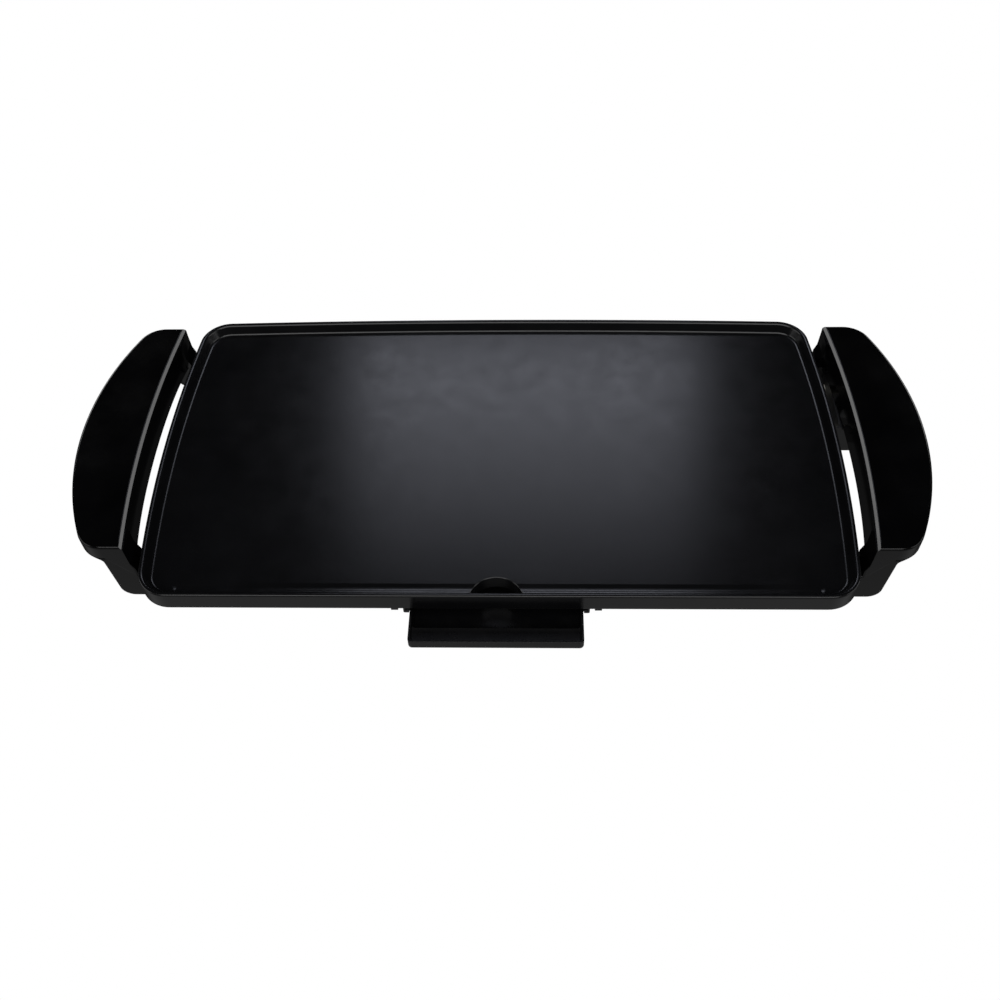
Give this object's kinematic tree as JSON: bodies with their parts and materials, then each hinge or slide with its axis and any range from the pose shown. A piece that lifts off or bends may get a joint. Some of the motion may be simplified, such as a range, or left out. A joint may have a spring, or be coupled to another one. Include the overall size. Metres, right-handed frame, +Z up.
{
  "type": "electric griddle",
  "caption": "Table-top electric griddle: rimmed non-stick cooking plate between two moulded handle-legs, with a slide-out front drip tray and a heat-control socket.",
  "frame": {"origin": "on the table, under the centre of the whole object's box, with the drip tray pushed in", "axes": "+Z up, +X to the right along the long side towards the heat-control socket, +Y to the back, away from the drip tray"},
  "size_m": [0.645, 0.3103, 0.0615],
  "materials": {
    "nonstick_aluminium": "satin black non-stick coating on die-cast aluminium",
    "gloss_black_plastic": "gloss",
    "black_tray_plastic": "satin",
    "foot_rubber": "matte",
    "bright_steel": "satin",
    "dark_steel": "satin",
    "element_sheath": "matte",
    "ceramic": "matte"
  },
  "bodies": {
    "griddle": {"griddle_plate": "nonstick_aluminium", "heating_element": "element_sheath", "element_clip_1": "bright_steel", "clip_screw_1": "bright_steel", "element_clip_2": "bright_steel", "clip_screw_2": "bright_steel", "element_clip_3": "bright_steel", "clip_screw_3": "bright_steel", "element_clip_4": "bright_steel", "clip_screw_4": "bright_steel", "element_clip_5": "bright_steel", "clip_screw_5": "bright_steel", "element_clip_6": "bright_steel", "clip_screw_6": "bright_steel", "terminal_pin_front": "bright_steel", "terminal_bush_front": "ceramic", "socket_screw_front": "bright_steel", "terminal_pin_back": "bright_steel", "terminal_bush_back": "ceramic", "socket_screw_back": "bright_steel", "socket_guard": "dark_steel", "right_handle": "gloss_black_plastic", "left_handle": "gloss_black_plastic", "leg_screw_left_front": "bright_steel", "foot_left_front": "foot_rubber", "leg_screw_left_back": "bright_steel", "foot_left_back": "foot_rubber", "leg_screw_right_front": "bright_steel", "foot_right_front": "foot_rubber", "leg_screw_right_back": "bright_steel", "foot_right_back": "foot_rubber", "tray_rail_right": "dark_steel", "tray_rail_left": "dark_steel", "rail_screw_left_1": "bright_steel", "rail_screw_left_2": "bright_steel", "rail_screw_right_1": "bright_steel", "rail_screw_right_2": "bright_steel"},
    "tray": {"drip_tray": "black_tray_plastic"}
  },
  "joints": [
    {"name": "tray_slide", "type": "slide", "parent": "griddle", "child": "tray", "axis": [0, -1, 0], "range_m": [0, 0.07]}
  ]
}
